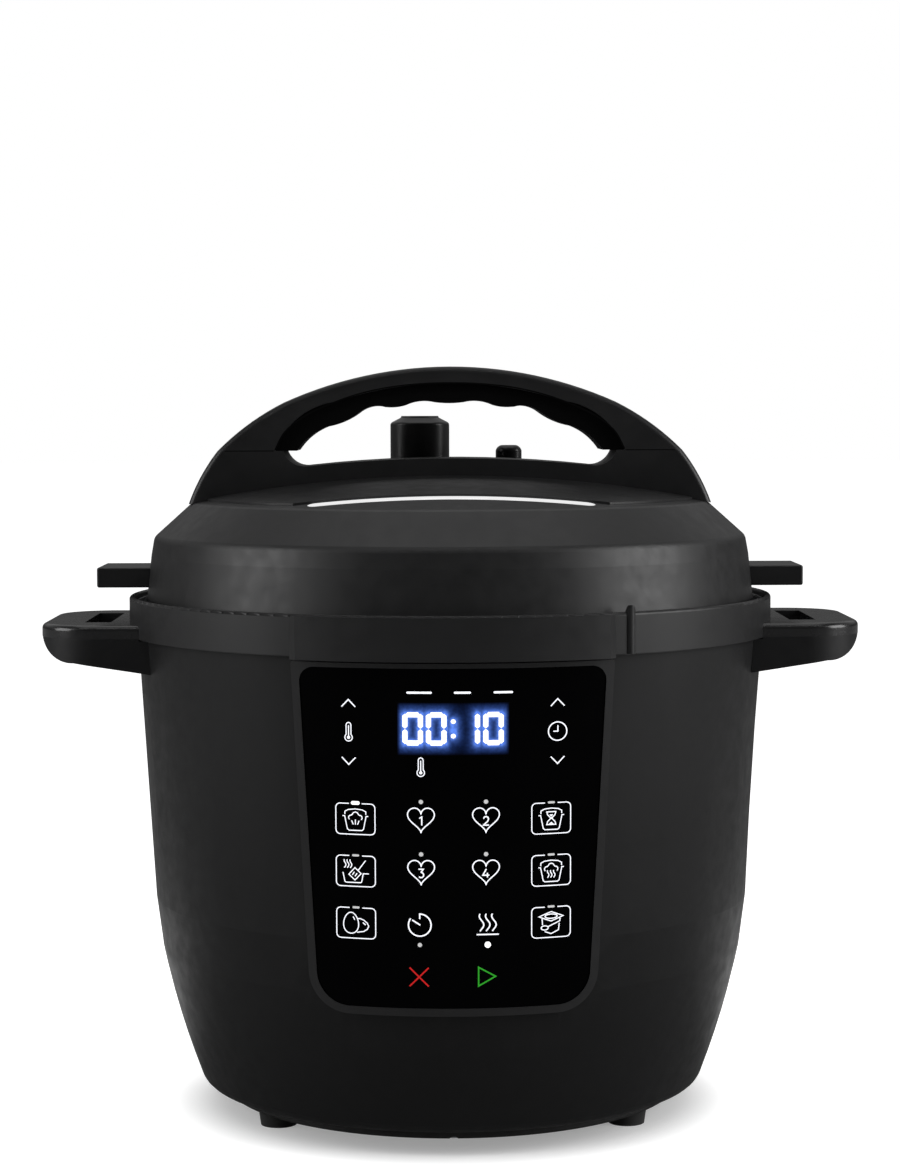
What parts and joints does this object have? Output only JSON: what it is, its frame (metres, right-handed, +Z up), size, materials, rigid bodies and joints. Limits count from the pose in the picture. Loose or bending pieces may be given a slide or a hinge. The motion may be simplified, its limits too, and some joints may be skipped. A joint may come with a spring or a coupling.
{
  "type": "electric pressure cooker",
  "caption": "Countertop electric pressure cooker: tapered round housing, touch panel, two side handles, turn-lock lid with arched handle, steam valve and release button.",
  "frame": {"origin": "on the table under the pot's vertical axis, at the bottom of the feet", "axes": "+Z up along the pot's axis, +X towards the right side handle, -Y towards the control panel"},
  "size_m": [0.33, 0.2648, 0.3018],
  "materials": {
    "housing_plastic": "fine matte texture",
    "base_plastic": "matte",
    "collar_plastic": "satin",
    "bezel_plastic": "satin",
    "panel_gloss": "printed black lens, glossy",
    "display": "segment display block",
    "circuit_board": "solder mask",
    "board_components": "moulded cases",
    "handle_gloss": "satin gloss",
    "grip_plastic": "fine matte texture",
    "screw_steel": "zinc plated",
    "liner_steel": "drawn steel",
    "pot_steel": "stainless, brushed inside",
    "lid_steel": "stainless",
    "strip_steel": "polished",
    "plate_aluminium": "cast and turned",
    "element_steel": "heat tinted",
    "sensor_metal": "turned",
    "spring_steel": "spring wire",
    "foot_rubber": "matte",
    "inlet_plastic": "moulded",
    "contact_brass": "nickel plated",
    "wire_insulation": "silicone sleeve",
    "seal_silicone": "translucent silicone",
    "lid_plastic": "satin with soft highlights",
    "fin_plastic": "satin",
    "lid_handle_plastic": "satin",
    "insert_plastic": "soft grip",
    "valve_plastic": "satin",
    "mechanism_plastic": "glass filled nylon",
    "pin_steel": "ground",
    "magnet": "sintered"
  },
  "bodies": {
    "base": {"housing_shell": "housing_plastic", "base_plate": "base_plastic", "upper_collar": "collar_plastic", "badge_plate": "collar_plastic", "panel_bezel": "bezel_plastic", "control_glass": "panel_gloss", "display_module": "display", "touch_board": "circuit_board", "power_board": "circuit_board", "board_parts": "board_components", "pressure_switch": "board_components", "lid_switch": "board_components", "board_standoffs": "board_components", "left_handle_cover": "handle_gloss", "right_handle_cover": "handle_gloss", "left_handle_grip": "grip_plastic", "right_handle_grip": "grip_plastic", "handle_screws": "screw_steel", "base_screws": "screw_steel", "outer_pot": "liner_steel", "bayonet_ring": "liner_steel", "plate_standoffs": "liner_steel", "sensor_cradle": "liner_steel", "heating_plate": "plate_aluminium", "heating_element": "element_steel", "thermal_fuse": "element_steel", "sensor_spring": "spring_steel", "base_feet": "foot_rubber", "power_inlet": "inlet_plastic", "inlet_pins": "contact_brass", "mains_wires": "wire_insulation"},
    "pot": {"inner_pot": "pot_steel"},
    "seal": {"sealing_ring": "seal_silicone"},
    "lid": {"lid_cover": "lid_plastic", "lid_trim_strip": "strip_steel", "left_fin": "fin_plastic", "right_fin": "fin_plastic", "pressure_lid": "lid_steel", "seal_rack": "lid_steel", "lid_screws": "screw_steel", "handle_base": "lid_handle_plastic", "handle_arch": "lid_handle_plastic", "handle_grip_insert": "insert_plastic", "steam_pipe": "lid_steel", "steam_shield": "lid_steel", "lever_bracket": "mechanism_plastic", "lever_pin": "pin_steel", "button_spring": "spring_steel", "lock_guide": "mechanism_plastic", "lock_spring": "spring_steel", "lid_magnet": "magnet"},
    "lifter": {"valve_lifter": "mechanism_plastic"},
    "valve": {"steam_valve": "valve_plastic", "valve_weight": "sensor_metal"},
    "button": {"release_button": "valve_plastic"},
    "lever": {"release_lever": "mechanism_plastic"},
    "float": {"float_valve": "sensor_metal", "float_seal": "seal_silicone"},
    "lock": {"lock_pin": "pin_steel"},
    "sensor": {"thermal_sensor": "sensor_metal"}
  },
  "joints": [
    {"name": "pot_lift", "type": "slide", "parent": "base", "child": "pot", "axis": [0, 0, 1], "range_m": [0, 0.17]},
    {"name": "lid_lift", "type": "slide", "parent": "pot", "child": "seal", "axis": [0, 0, 1], "range_m": [0, 0.08]},
    {"name": "lid_turn", "type": "hinge", "parent": "seal", "child": "lid", "pos_m": [0, 0, 0.2], "axis": [0, 0, 1], "range_deg": [0, 30]},
    {"name": "valve_vent", "type": "slide", "parent": "lid", "child": "lifter", "axis": [0, 0, 1], "range_m": [0, 0.0028]},
    {"name": "valve_lift_off", "type": "slide", "parent": "lifter", "child": "valve", "axis": [0, 0, 1], "range_m": [0, 0.03]},
    {"name": "button_press", "type": "slide", "parent": "lid", "child": "button", "axis": [0, 0, -1], "range_m": [0, 0.004], "stiffness_N_per_m": 500, "springref_m": -0.002, "deforming": ["button_spring"]},
    {"name": "lever_rock", "type": "hinge", "parent": "lid", "child": "lever", "pos_m": [0.003, 0.036, 0.24375], "axis": [0, 1, 0], "range_deg": [0, 10.5]},
    {"name": "float_rise", "type": "slide", "parent": "lid", "child": "float", "axis": [0, 0, 1], "range_m": [0, 0.006]},
    {"name": "lock_press", "type": "slide", "parent": "lid", "child": "lock", "axis": [0, 0, 1], "range_m": [0, 0.003], "stiffness_N_per_m": 150, "springref_m": -0.003, "deforming": ["lock_spring"]},
    {"name": "sensor_press", "type": "slide", "parent": "base", "child": "sensor", "axis": [0, 0, -1], "range_m": [0, 0.0015], "stiffness_N_per_m": 800, "springref_m": -0.002, "deforming": ["sensor_spring"]}
  ],
  "couplings": [
    {"joint": "lever_rock", "follows": "button_press", "rad_per_m": 44.843},
    {"joint": "valve_vent", "follows": "button_press", "ratio": 0.686}
  ]
}
